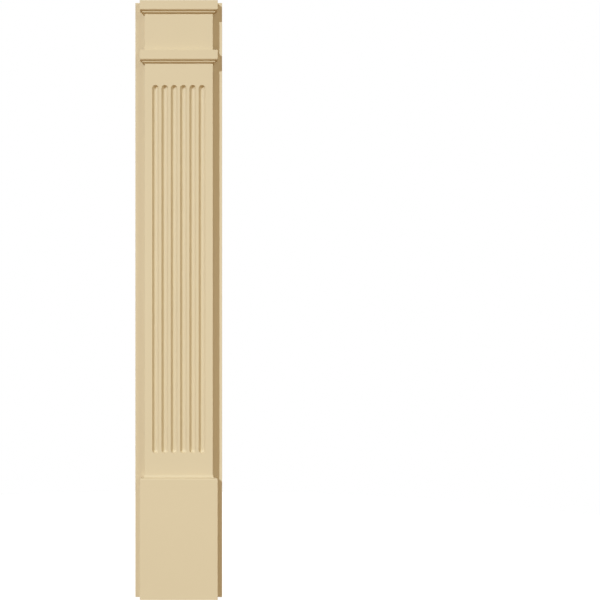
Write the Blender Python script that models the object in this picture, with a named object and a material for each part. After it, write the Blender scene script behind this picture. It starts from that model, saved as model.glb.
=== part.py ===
"""Fluted door pilaster, moulded in one piece: back panel, shaft, plinth block, necking band and cap band.

Units are metres, +Z is up and the front faces -Y. The origin is the centre of the flat back, which goes on
the wall, so the wall is the plane y = 0.
"""

import math

import bmesh
import bpy

# Overall
HEIGHT = 2.286
WIDTH = 0.3337

# Flat back panel and the shaft raised on it
PANEL_THICKNESS = 0.0197
FLANGE_WIDTH = 0.0366
SHAFT_RISE = 0.0381

# Plinth block: flat face, then an ovolo and a cove that bring it back to the shaft
PLINTH_FACE_HEIGHT = 0.4586
PLINTH_OVOLO_DEPTH = 0.0079
PLINTH_OVOLO_HEIGHT = 0.0048
PLINTH_COVE_DEPTH = 0.0101
PLINTH_COVE_HEIGHT = 0.0107

# Necking and cap bands, alike: flat fascia over an upper round, then a fillet over a lower round
FASCIA_HEIGHT = 0.0325
UPPER_ROUND_DEPTH = 0.0091
UPPER_ROUND_HEIGHT = 0.007
FILLET_HEIGHT = 0.0031
LOWER_ROUND_DEPTH = 0.0093
LOWER_ROUND_HEIGHT = 0.0052
FRIEZE_HEIGHT = 0.142

# Flutes: round-ended channels, very nearly half-round in section
FLUTE_COUNT = 6
FLUTE_DEPTH = 0.0127
FLUTE_LAND = 0.0106
FLUTE_SIDE_MARGIN = 0.0288
FLUTE_FOOT_MARGIN = 0.0829
FLUTE_HEAD_MARGIN = 0.0838

# Fineness of the round work
PROFILE_STEPS = 8
FLUTE_STEPS_ACROSS = 16
FLUTE_STEPS_AT_END = 8
SAME_PLACE = 1e-6
SAME_PLANE = math.radians(0.05)

# Worked out from the sizes above
BOTTOM = -HEIGHT / 2
TOP = HEIGHT / 2
SHAFT_WIDTH = WIDTH - 2 * FLANGE_WIDTH
SHAFT_FRONT = -(PANEL_THICKNESS + SHAFT_RISE)
PLINTH_STEP = PLINTH_OVOLO_DEPTH + PLINTH_COVE_DEPTH
PLINTH_TOP = BOTTOM + PLINTH_FACE_HEIGHT + PLINTH_OVOLO_HEIGHT + PLINTH_COVE_HEIGHT
BAND_STEP = LOWER_ROUND_DEPTH + UPPER_ROUND_DEPTH
BAND_HEIGHT = FASCIA_HEIGHT + UPPER_ROUND_HEIGHT + FILLET_HEIGHT + LOWER_ROUND_HEIGHT
CAP_BOTTOM = TOP - BAND_HEIGHT
NECKING_TOP = CAP_BOTTOM - FRIEZE_HEIGHT
NECKING_BOTTOM = NECKING_TOP - BAND_HEIGHT
FLUTED_WIDTH = SHAFT_WIDTH - 2 * FLUTE_SIDE_MARGIN
FLUTE_WIDTH = (FLUTED_WIDTH - (FLUTE_COUNT - 1) * FLUTE_LAND) / FLUTE_COUNT
FLUTE_PITCH = FLUTE_WIDTH + FLUTE_LAND
FLUTE_BOTTOM = PLINTH_TOP + FLUTE_FOOT_MARGIN
FLUTE_TOP = NECKING_BOTTOM - FLUTE_HEAD_MARGIN


def clear_scene():
    """Starts from an empty scene."""
    for thing in list(bpy.data.objects):
        bpy.data.objects.remove(thing, do_unlink=True)


def quarter_arc(centre_out, centre_z, depth, height, start_degrees, end_degrees):
    """Points (out, z) on an elliptical arc, angle 0 pointing outward and 90 pointing up."""
    points = []
    for step in range(PROFILE_STEPS + 1):
        angle = math.radians(start_degrees + (end_degrees - start_degrees) * step / PROFILE_STEPS)
        points.append((centre_out + depth * math.cos(angle), centre_z + height * math.sin(angle)))
    return points


def plinth_profile():
    """Plinth face, ovolo and cove, from the floor up; out is measured from the shaft's face."""
    face_top = BOTTOM + PLINTH_FACE_HEIGHT
    ovolo = quarter_arc(PLINTH_COVE_DEPTH, face_top, PLINTH_OVOLO_DEPTH, PLINTH_OVOLO_HEIGHT, 0, 90)
    cove = quarter_arc(PLINTH_COVE_DEPTH, PLINTH_TOP, PLINTH_COVE_DEPTH, PLINTH_COVE_HEIGHT, 270, 180)
    return [(PLINTH_STEP, BOTTOM)] + ovolo + cove[1:]


def band_profile(bottom):
    """Lower round, fillet, upper round and fascia, from the band's underside up."""
    lower_top = bottom + LOWER_ROUND_HEIGHT
    upper_top = lower_top + FILLET_HEIGHT + UPPER_ROUND_HEIGHT
    lower = quarter_arc(0, lower_top, LOWER_ROUND_DEPTH, LOWER_ROUND_HEIGHT, 270, 360)
    upper = quarter_arc(LOWER_ROUND_DEPTH, upper_top, UPPER_ROUND_DEPTH, UPPER_ROUND_HEIGHT, 270, 360)
    return lower + upper + [(BAND_STEP, bottom + BAND_HEIGHT)]


def raised_profile():
    """The whole front from the floor to the top, as (distance out from the shaft's face, height)."""
    necking = band_profile(NECKING_BOTTOM)
    return plinth_profile() + necking + [(0, NECKING_TOP)] + band_profile(CAP_BOTTOM)


def plan_outline(out):
    """Plan of one level: the back panel, with the raised part standing out alike on front and sides."""
    half = SHAFT_WIDTH / 2 + out
    front = SHAFT_FRONT - out
    left_side = [(-WIDTH / 2, 0), (-WIDTH / 2, -PANEL_THICKNESS), (-half, -PANEL_THICKNESS), (-half, front)]
    return left_side + [(-x, y) for x, y in reversed(left_side)]


def moulded_body():
    """Back panel, plinth, shaft, frieze and bands, grown level by level from the floor up."""
    mesh = bmesh.new()
    profile = raised_profile()
    bottom_out, bottom_z = profile[0]
    level = mesh.faces.new([mesh.verts.new((x, y, bottom_z)) for x, y in plan_outline(bottom_out)])
    for out, z in profile[1:]:
        level = bmesh.ops.extrude_discrete_faces(mesh, faces=[level])["faces"][0]
        for corner, (x, y) in zip(level.verts, plan_outline(out)):
            corner.co = (x, y, z)
    bmesh.ops.remove_doubles(mesh, verts=mesh.verts, dist=SAME_PLACE)
    bmesh.ops.dissolve_degenerate(mesh, dist=SAME_PLACE, edges=mesh.edges)
    bmesh.ops.holes_fill(mesh, edges=mesh.edges)
    bmesh.ops.recalc_face_normals(mesh, faces=mesh.faces)
    bmesh.ops.dissolve_limit(mesh, angle_limit=SAME_PLANE, verts=mesh.verts, edges=mesh.edges)
    return mesh


def flute_outline():
    """Half the outline of one flute, (distance from its axis, z), from the foot of the flute to its head."""
    radius = FLUTE_WIDTH / 2
    points = []
    for step in range(FLUTE_STEPS_AT_END + 1):
        angle = math.pi / 2 * step / FLUTE_STEPS_AT_END
        points.append((radius * math.sin(angle), FLUTE_BOTTOM + radius * (1 - math.cos(angle))))
    return points + [(out, FLUTE_BOTTOM + FLUTE_TOP - z) for out, z in reversed(points)]


def flutes():
    """Round-ended rods, flattened to the flutes' depth, with their axes on the shaft's face."""
    mesh = bmesh.new()
    outline = flute_outline()
    for index in range(FLUTE_COUNT):
        x = (index - (FLUTE_COUNT - 1) / 2) * FLUTE_PITCH
        rail = [mesh.verts.new((x + out, 0, z)) for out, z in outline]
        edges = [mesh.edges.new(pair) for pair in zip(rail, rail[1:])]
        bmesh.ops.spin(
            mesh,
            geom=rail + edges,
            cent=(x, 0, 0),
            axis=(0, 0, 1),
            angle=2 * math.pi,
            steps=2 * FLUTE_STEPS_ACROSS,
            use_merge=True,
        )
    bmesh.ops.remove_doubles(mesh, verts=mesh.verts, dist=SAME_PLACE)
    bmesh.ops.recalc_face_normals(mesh, faces=mesh.faces)
    bmesh.ops.scale(mesh, vec=(1, 2 * FLUTE_DEPTH / FLUTE_WIDTH, 1), verts=mesh.verts)
    bmesh.ops.translate(mesh, vec=(0, SHAFT_FRONT, 0), verts=mesh.verts)
    return mesh


def add_object(name, mesh):
    """Turns a worked mesh into an object, smooth where it is round."""
    data = bpy.data.meshes.new(name)
    mesh.to_mesh(data)
    mesh.free()
    data.shade_smooth()
    data.set_sharp_from_angle(angle=math.radians(30))
    thing = bpy.data.objects.new(name, data)
    bpy.context.scene.collection.objects.link(thing)
    return thing


def cut(target, name, mesh):
    """Cuts a hidden shape out of the target with a live Boolean."""
    cutter = add_object(name, mesh)
    cutter.hide_render = True
    cutter.display_type = "WIRE"
    boolean = target.modifiers.new(name, "BOOLEAN")
    boolean.operation = "DIFFERENCE"
    boolean.solver = "EXACT"
    boolean.object = cutter


def primed_tan():
    """Moulded polyurethane foam with a smooth, factory-applied tan primer."""
    material = bpy.data.materials.new("primed_tan")
    material.use_nodes = True
    shader = material.node_tree.nodes["Principled BSDF"]
    shader.inputs["Base Color"].default_value = (0.72, 0.6, 0.4, 1)
    shader.inputs["Roughness"].default_value = 0.55
    shader.inputs["Metallic"].default_value = 0
    return material


clear_scene()
pilaster = add_object("pilaster", moulded_body())
pilaster.data.materials.append(primed_tan())
cut(pilaster, "flutes_cutter", flutes())
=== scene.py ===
"""Looks of a moulded, fluted door pilaster: its fine surface, its primed finish, the studio and the camera.

Units are metres, +Z is up, the front faces -Y, and the wall side is the plane y = 0.
"""

import math

import bmesh
import bpy
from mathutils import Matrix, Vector


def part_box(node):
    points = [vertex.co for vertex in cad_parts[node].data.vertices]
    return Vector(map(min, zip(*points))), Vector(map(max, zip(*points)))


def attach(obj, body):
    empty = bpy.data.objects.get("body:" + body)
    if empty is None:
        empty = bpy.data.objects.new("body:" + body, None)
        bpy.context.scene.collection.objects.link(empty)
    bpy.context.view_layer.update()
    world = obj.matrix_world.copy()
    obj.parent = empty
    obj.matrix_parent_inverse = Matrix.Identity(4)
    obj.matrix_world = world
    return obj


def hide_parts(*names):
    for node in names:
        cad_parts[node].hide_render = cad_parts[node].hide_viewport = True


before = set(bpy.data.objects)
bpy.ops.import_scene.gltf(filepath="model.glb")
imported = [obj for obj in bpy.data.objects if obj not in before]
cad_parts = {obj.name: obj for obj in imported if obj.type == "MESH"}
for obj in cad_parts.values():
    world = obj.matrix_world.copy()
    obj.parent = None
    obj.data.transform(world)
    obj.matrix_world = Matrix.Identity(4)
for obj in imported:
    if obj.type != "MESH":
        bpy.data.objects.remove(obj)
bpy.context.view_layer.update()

# Moulded body
# One casting of dense polyurethane foam: a flat back panel with the shaft raised on it, a plinth block at
# the foot, and a necking band and a cap band that return on the sides. The mould leaves every arris very
# slightly rounded.
low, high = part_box("pilaster")
PANEL_THICKNESS = 0.0197
FLANGE_WIDTH = 0.0366
SHAFT_RISE = 0.0381
PLINTH_FACE_HEIGHT = 0.4586
PLINTH_OVOLO = (0.0079, 0.0048)
PLINTH_COVE = (0.0101, 0.0107)
FASCIA_HEIGHT = 0.0325
UPPER_ROUND = (0.0091, 0.007)
FILLET_HEIGHT = 0.0031
LOWER_ROUND = (0.0093, 0.0052)
FRIEZE_HEIGHT = 0.142
ARRIS = (0.0015, 0.0015)
CORNER_RADIUS = 0.0006
CORNER_STEPS = 3
ROUND_STEPS = 14
SAME_PLACE = 1e-6
SAME_PLANE = math.radians(0.05)

shaft_half = (high.x - low.x) / 2 - FLANGE_WIDTH
shaft_front = high.y - PANEL_THICKNESS - SHAFT_RISE
plinth_top = low.z + PLINTH_FACE_HEIGHT + PLINTH_OVOLO[1] + PLINTH_COVE[1]
band_step = LOWER_ROUND[0] + UPPER_ROUND[0]
band_height = FASCIA_HEIGHT + UPPER_ROUND[1] + FILLET_HEIGHT + LOWER_ROUND[1]
cap_bottom = high.z - band_height
necking_top = cap_bottom - FRIEZE_HEIGHT
necking_bottom = necking_top - band_height


def quarter_arc(centre_out, centre_z, size, start_degrees, end_degrees):
    """Points (out, z) on an elliptical arc of that size, angle 0 pointing outward and 90 pointing up."""
    points = []
    for step in range(ROUND_STEPS + 1):
        angle = math.radians(start_degrees + (end_degrees - start_degrees) * step / ROUND_STEPS)
        points.append((centre_out + size[0] * math.cos(angle), centre_z + size[1] * math.sin(angle)))
    return points


def plinth_levels():
    """The plinth block's face, then the ovolo and the cove that bring it back to the shaft."""
    face_top = low.z + PLINTH_FACE_HEIGHT
    ovolo = quarter_arc(PLINTH_COVE[0], face_top, PLINTH_OVOLO, 0, 90)
    cove = quarter_arc(PLINTH_COVE[0], plinth_top, PLINTH_COVE, 270, 180)
    return [(PLINTH_OVOLO[0] + PLINTH_COVE[0], low.z)] + ovolo + cove[1:]


def band_levels(bottom):
    """Lower round, fillet and upper round, under a flat fascia with a softened upper arris."""
    lower_top = bottom + LOWER_ROUND[1]
    upper_top = lower_top + FILLET_HEIGHT + UPPER_ROUND[1]
    lower = quarter_arc(0, lower_top, LOWER_ROUND, 270, 360)
    upper = quarter_arc(LOWER_ROUND[0], upper_top, UPPER_ROUND, 270, 360)
    arris = quarter_arc(band_step - ARRIS[0], bottom + band_height - ARRIS[1], ARRIS, 0, 90)
    return lower + upper + arris


def rounded_corner(x, y, toward_x, toward_y):
    """Points round one corner of the plan; toward_x and toward_y say which way its centre lies."""
    points = []
    for step in range(CORNER_STEPS + 1):
        angle = math.pi / 2 * step / CORNER_STEPS
        across = CORNER_RADIUS * (1 - math.sin(angle))
        along = CORNER_RADIUS * (1 - math.cos(angle))
        points.append((x + toward_x * along, y + toward_y * across))
    return points


def plan_outline(out):
    """Plan of one level: the back panel, with the raised part standing out alike on front and sides."""
    half = shaft_half + out
    panel_front = high.y - PANEL_THICKNESS
    back = rounded_corner(low.x, high.y, 1, -1)[::-1]
    flange = rounded_corner(low.x, panel_front, 1, 1)
    raised = rounded_corner(-half, shaft_front - out, 1, 1)
    left_side = back + flange + [(-half, panel_front)] + raised
    return left_side + [(-x, y) for x, y in reversed(left_side)]


def grow_body():
    """Extrudes the plan level by level, from the foot to the top, and closes the foot."""
    levels = plinth_levels() + band_levels(necking_bottom) + [(0, necking_top)] + band_levels(cap_bottom)
    mesh = bmesh.new()
    first_out, first_z = levels[0]
    level = mesh.faces.new([mesh.verts.new((x, y, first_z)) for x, y in plan_outline(first_out)])
    for out, z in levels[1:]:
        level = bmesh.ops.extrude_discrete_faces(mesh, faces=[level])["faces"][0]
        for corner, (x, y) in zip(level.verts, plan_outline(out)):
            corner.co = (x, y, z)
    bmesh.ops.remove_doubles(mesh, verts=mesh.verts, dist=SAME_PLACE)
    bmesh.ops.dissolve_degenerate(mesh, dist=SAME_PLACE, edges=mesh.edges)
    bmesh.ops.holes_fill(mesh, edges=mesh.edges)
    bmesh.ops.recalc_face_normals(mesh, faces=mesh.faces)
    bmesh.ops.dissolve_limit(mesh, angle_limit=SAME_PLANE, verts=mesh.verts, edges=mesh.edges)
    return mesh


def as_object(name, mesh):
    """Puts a worked mesh into the scene as an object, shaded smooth."""
    data = bpy.data.meshes.new(name)
    mesh.to_mesh(data)
    mesh.free()
    data.shade_smooth()
    thing = bpy.data.objects.new(name, data)
    bpy.context.scene.collection.objects.link(thing)
    return thing


pilaster = as_object("moulded_pilaster", grow_body())

# Flutes
# Six round-ended channels, very nearly half-round in section, sunk in the shaft's face by the same mould.
FLUTE_COUNT = 6
FLUTE_DEPTH = 0.0127
FLUTE_LAND = 0.0106
FLUTE_SIDE_MARGIN = 0.0288
FLUTE_FOOT_MARGIN = 0.0829
FLUTE_HEAD_MARGIN = 0.0838
FLUTE_STEPS_ROUND = 80
FLUTE_STEPS_AT_END = 16
RIM_RADIUS = 0.0002
RIM_STEPS = 2
RIM_ANGLE = math.radians(40)
SHARP_ANGLE = math.radians(50)

fluted_width = 2 * (shaft_half - FLUTE_SIDE_MARGIN)
flute_width = (fluted_width - (FLUTE_COUNT - 1) * FLUTE_LAND) / FLUTE_COUNT
flute_foot = plinth_top + FLUTE_FOOT_MARGIN
flute_head = necking_bottom - FLUTE_HEAD_MARGIN


def spin_flute(mesh, x):
    """Spins one round-ended rod about its own upright axis."""
    radius = flute_width / 2
    quarter = [math.pi / 2 * step / FLUTE_STEPS_AT_END for step in range(FLUTE_STEPS_AT_END + 1)]
    foot = [(radius * math.sin(a), flute_foot + radius * (1 - math.cos(a))) for a in quarter]
    head = [(out, flute_foot + flute_head - z) for out, z in reversed(foot)]
    rail = [mesh.verts.new((x + out, 0, z)) for out, z in foot + head]
    edges = [mesh.edges.new(pair) for pair in zip(rail, rail[1:])]
    bmesh.ops.spin(
        mesh,
        geom=rail + edges,
        cent=(x, 0, 0),
        axis=(0, 0, 1),
        angle=2 * math.pi,
        steps=FLUTE_STEPS_ROUND,
        use_merge=True,
    )


def flute_rods():
    """All the rods, flattened to the flutes' depth, with their axes in the shaft's face."""
    mesh = bmesh.new()
    for index in range(FLUTE_COUNT):
        spin_flute(mesh, (index - (FLUTE_COUNT - 1) / 2) * (flute_width + FLUTE_LAND))
    bmesh.ops.remove_doubles(mesh, verts=mesh.verts, dist=SAME_PLACE)
    bmesh.ops.recalc_face_normals(mesh, faces=mesh.faces)
    bmesh.ops.scale(mesh, vec=(1, 2 * FLUTE_DEPTH / flute_width, 1), verts=mesh.verts)
    bmesh.ops.translate(mesh, vec=(0, shaft_front, 0), verts=mesh.verts)
    return mesh


def sink_flutes(body):
    """Cuts the rods out of the body and keeps the cut mesh."""
    rods = as_object("flute_rods", flute_rods())
    boolean = body.modifiers.new("flutes", "BOOLEAN")
    boolean.operation = "DIFFERENCE"
    boolean.solver = "EXACT"
    boolean.object = rods
    cut = bpy.data.meshes.new_from_object(body.evaluated_get(bpy.context.evaluated_depsgraph_get()))
    body.modifiers.clear()
    body.data = cut
    bpy.data.objects.remove(rods, do_unlink=True)


def is_rim(edge):
    """True for an edge in the shaft's face that drops into a flute on one side."""
    on_face = all(abs(v.co.y - shaft_front) < SAME_PLACE for v in edge.verts)
    return on_face and edge.calc_face_angle_signed(0) > RIM_ANGLE


def soften_rims(body):
    """Rounds the rims where the flutes break through the shaft's face, and shades the body smooth."""
    mesh = bmesh.new()
    mesh.from_mesh(body.data)
    rims = [e for e in mesh.edges if is_rim(e)]
    bmesh.ops.bevel(
        mesh,
        geom=rims,
        offset=RIM_RADIUS,
        offset_type="OFFSET",
        segments=RIM_STEPS,
        profile=0.5,
        affect="EDGES",
        clamp_overlap=False,
        material=-1,
    )
    mesh.to_mesh(body.data)
    mesh.free()
    body.data.shade_smooth()
    body.data.set_sharp_from_angle(angle=SHARP_ANGLE)
    body.modifiers.new("flat_faces_stay_flat", "WEIGHTED_NORMAL").keep_sharp = True


sink_flutes(pilaster)
soften_rims(pilaster)

# Primed finish
# A sprayed tan primer, smooth and low in sheen, with the faint stipple and drift of tone of a sprayed coat.
TAN = (0.72, 0.60, 0.40, 1)
TAN_DRIFT = (0.69, 0.572, 0.377, 1)
DRIFT_PER_METRE = 3
DRIFT_DETAIL = 4
ROUGHNESS_LEAST = 0.42
ROUGHNESS_MOST = 0.5
STIPPLE_SIZE = 0.0016
STIPPLE_HEIGHT = 0.00006
STIPPLE_DETAIL = 2


def primed_tan():
    """Tan primer on moulded foam."""
    material = bpy.data.materials.new("primed_tan")
    material.use_nodes = True
    nodes = material.node_tree.nodes
    link = material.node_tree.links.new
    shader = nodes["Principled BSDF"]
    place = nodes.new("ShaderNodeTexCoord")

    drift = nodes.new("ShaderNodeTexNoise")
    drift.inputs["Scale"].default_value = DRIFT_PER_METRE
    drift.inputs["Detail"].default_value = DRIFT_DETAIL
    link(place.outputs["Object"], drift.inputs["Vector"])
    tone = nodes.new("ShaderNodeMix")
    tone.data_type = "RGBA"
    tone.inputs["A"].default_value = TAN
    tone.inputs["B"].default_value = TAN_DRIFT
    link(drift.outputs["Fac"], tone.inputs["Factor"])
    link(tone.outputs["Result"], shader.inputs["Base Color"])

    stipple = nodes.new("ShaderNodeTexNoise")
    stipple.inputs["Scale"].default_value = 1 / STIPPLE_SIZE
    stipple.inputs["Detail"].default_value = STIPPLE_DETAIL
    link(place.outputs["Object"], stipple.inputs["Vector"])
    sheen = nodes.new("ShaderNodeMapRange")
    sheen.inputs["To Min"].default_value = ROUGHNESS_LEAST
    sheen.inputs["To Max"].default_value = ROUGHNESS_MOST
    link(drift.outputs["Fac"], sheen.inputs["Value"])
    link(sheen.outputs["Result"], shader.inputs["Roughness"])
    relief = nodes.new("ShaderNodeBump")
    relief.inputs["Distance"].default_value = STIPPLE_HEIGHT
    link(stipple.outputs["Fac"], relief.inputs["Height"])
    link(relief.outputs["Normal"], shader.inputs["Normal"])
    return material


pilaster.data.materials.clear()
pilaster.data.materials.append(primed_tan())
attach(pilaster, "root")
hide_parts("pilaster")

# Camera
# Square on to the front at half height, far enough back for the photograph's slight perspective. The lens is
# shifted sideways alone, to set the pilaster left of centre as the photograph does.
CAMERA_TO_FLANGE = 5.49
LENS = 85.6
SENSOR_WIDTH = 36
SHIFT = 0.2021

camera_data = bpy.data.cameras.new("camera")
camera_data.lens = LENS
camera_data.sensor_width = SENSOR_WIDTH
camera_data.shift_x = SHIFT
camera = bpy.data.objects.new("camera", camera_data)
camera.location = (0, high.y - PANEL_THICKNESS - CAMERA_TO_FLANGE, (low.z + high.z) / 2)
camera.rotation_euler = (math.pi / 2, 0, 0)
bpy.context.scene.collection.objects.link(camera)
bpy.context.scene.camera = camera

# Studio
# A white studio: crisp key light from high on the left, a weaker and much softer one from the right, a faint
# lamp in front that lifts the middle of the shaft, warm light from all round, a light for the back, and a
# white floor. Each travel is the direction in which that light goes.
KEY_TRAVEL = Vector((0.7, 1.0, -0.617))
KEY_COLOUR = (0.742, 0.877, 1)
KEY_STRENGTH = 2.66
KEY_ANGLE = math.radians(1)
FILL_TRAVEL = Vector((-0.85, 1.0, -0.4))
FILL_COLOUR = (0.854, 1, 1)
FILL_STRENGTH = 0.82
FILL_ANGLE = math.radians(25)
BACK_TRAVEL = Vector((0, -1.0, -0.3))
BACK_COLOUR = (0.9, 0.96, 1)
BACK_STRENGTH = 2
BACK_ANGLE = math.radians(20)
LAMP_DISTANCE = 2.6
LAMP_SIZE = 1.2
LAMP_COLOUR = (1, 1, 0.8)
LAMP_POWER = 6
ROOM_COLOUR = (0.32, 0.195, 0.085, 1)
WHITE = (1, 1, 1, 1)
FLOOR_RADIUS = 3
FLOOR_STEPS = 96
FLOOR_GAP = 0.0005
FLOOR_COLOUR = (0.1, 0.1, 0.1, 1)
FLOOR_ROUGHNESS = 0.9
FLOOR_GLOW = 0.97


def add_light(name, kind, colour, energy):
    """A light at the origin, not yet aimed."""
    data = bpy.data.lights.new(name, kind)
    data.color = colour
    data.energy = energy
    light = bpy.data.objects.new(name, data)
    bpy.context.scene.collection.objects.link(light)
    return light


def add_sun(name, travel, colour, strength, angle):
    """A distant light that goes in the direction of its travel."""
    sun = add_light(name, "SUN", colour, strength)
    sun.rotation_euler = travel.to_track_quat("-Z", "Y").to_euler()
    sun.data.angle = angle


add_sun("key_light", KEY_TRAVEL, KEY_COLOUR, KEY_STRENGTH, KEY_ANGLE)
add_sun("fill_light", FILL_TRAVEL, FILL_COLOUR, FILL_STRENGTH, FILL_ANGLE)
add_sun("back_light", BACK_TRAVEL, BACK_COLOUR, BACK_STRENGTH, BACK_ANGLE)

lamp = add_light("front_lamp", "AREA", LAMP_COLOUR, LAMP_POWER)
lamp.data.size = LAMP_SIZE
lamp.location = (0, -LAMP_DISTANCE, 0)
lamp.rotation_euler = (math.pi / 2, 0, 0)
lamp.visible_camera = False


def white_room():
    """White wherever the camera looks past the object; softer, warmer light on the object."""
    world = bpy.data.worlds.new("studio")
    bpy.context.scene.world = world
    world.use_nodes = True
    nodes = world.node_tree.nodes
    link = world.node_tree.links.new
    around = nodes["Background"]
    around.inputs["Color"].default_value = ROOM_COLOUR
    seen = nodes.new("ShaderNodeBackground")
    seen.inputs["Color"].default_value = WHITE
    path = nodes.new("ShaderNodeLightPath")
    choose = nodes.new("ShaderNodeMixShader")
    link(path.outputs["Is Camera Ray"], choose.inputs["Fac"])
    link(around.outputs["Background"], choose.inputs[1])
    link(seen.outputs["Background"], choose.inputs[2])
    link(choose.outputs["Shader"], nodes["World Output"].inputs["Surface"])


white_room()


def white_floor():
    """A round floor under the plinth, which glows just white enough to hide the pilaster's shadow on it."""
    mesh = bmesh.new()
    bmesh.ops.create_circle(mesh, cap_ends=True, segments=FLOOR_STEPS, radius=FLOOR_RADIUS)
    bmesh.ops.translate(mesh, vec=(0, 0, low.z - FLOOR_GAP), verts=mesh.verts)
    floor = as_object("floor", mesh)
    material = bpy.data.materials.new("white_floor")
    material.use_nodes = True
    shader = material.node_tree.nodes["Principled BSDF"]
    shader.inputs["Base Color"].default_value = FLOOR_COLOUR
    shader.inputs["Roughness"].default_value = FLOOR_ROUGHNESS
    shader.inputs["Emission Color"].default_value = WHITE
    shader.inputs["Emission Strength"].default_value = FLOOR_GLOW
    floor.data.materials.append(material)
    floor.visible_diffuse = False
    floor.visible_glossy = False


white_floor()

bpy.context.scene.view_settings.view_transform = "Standard"
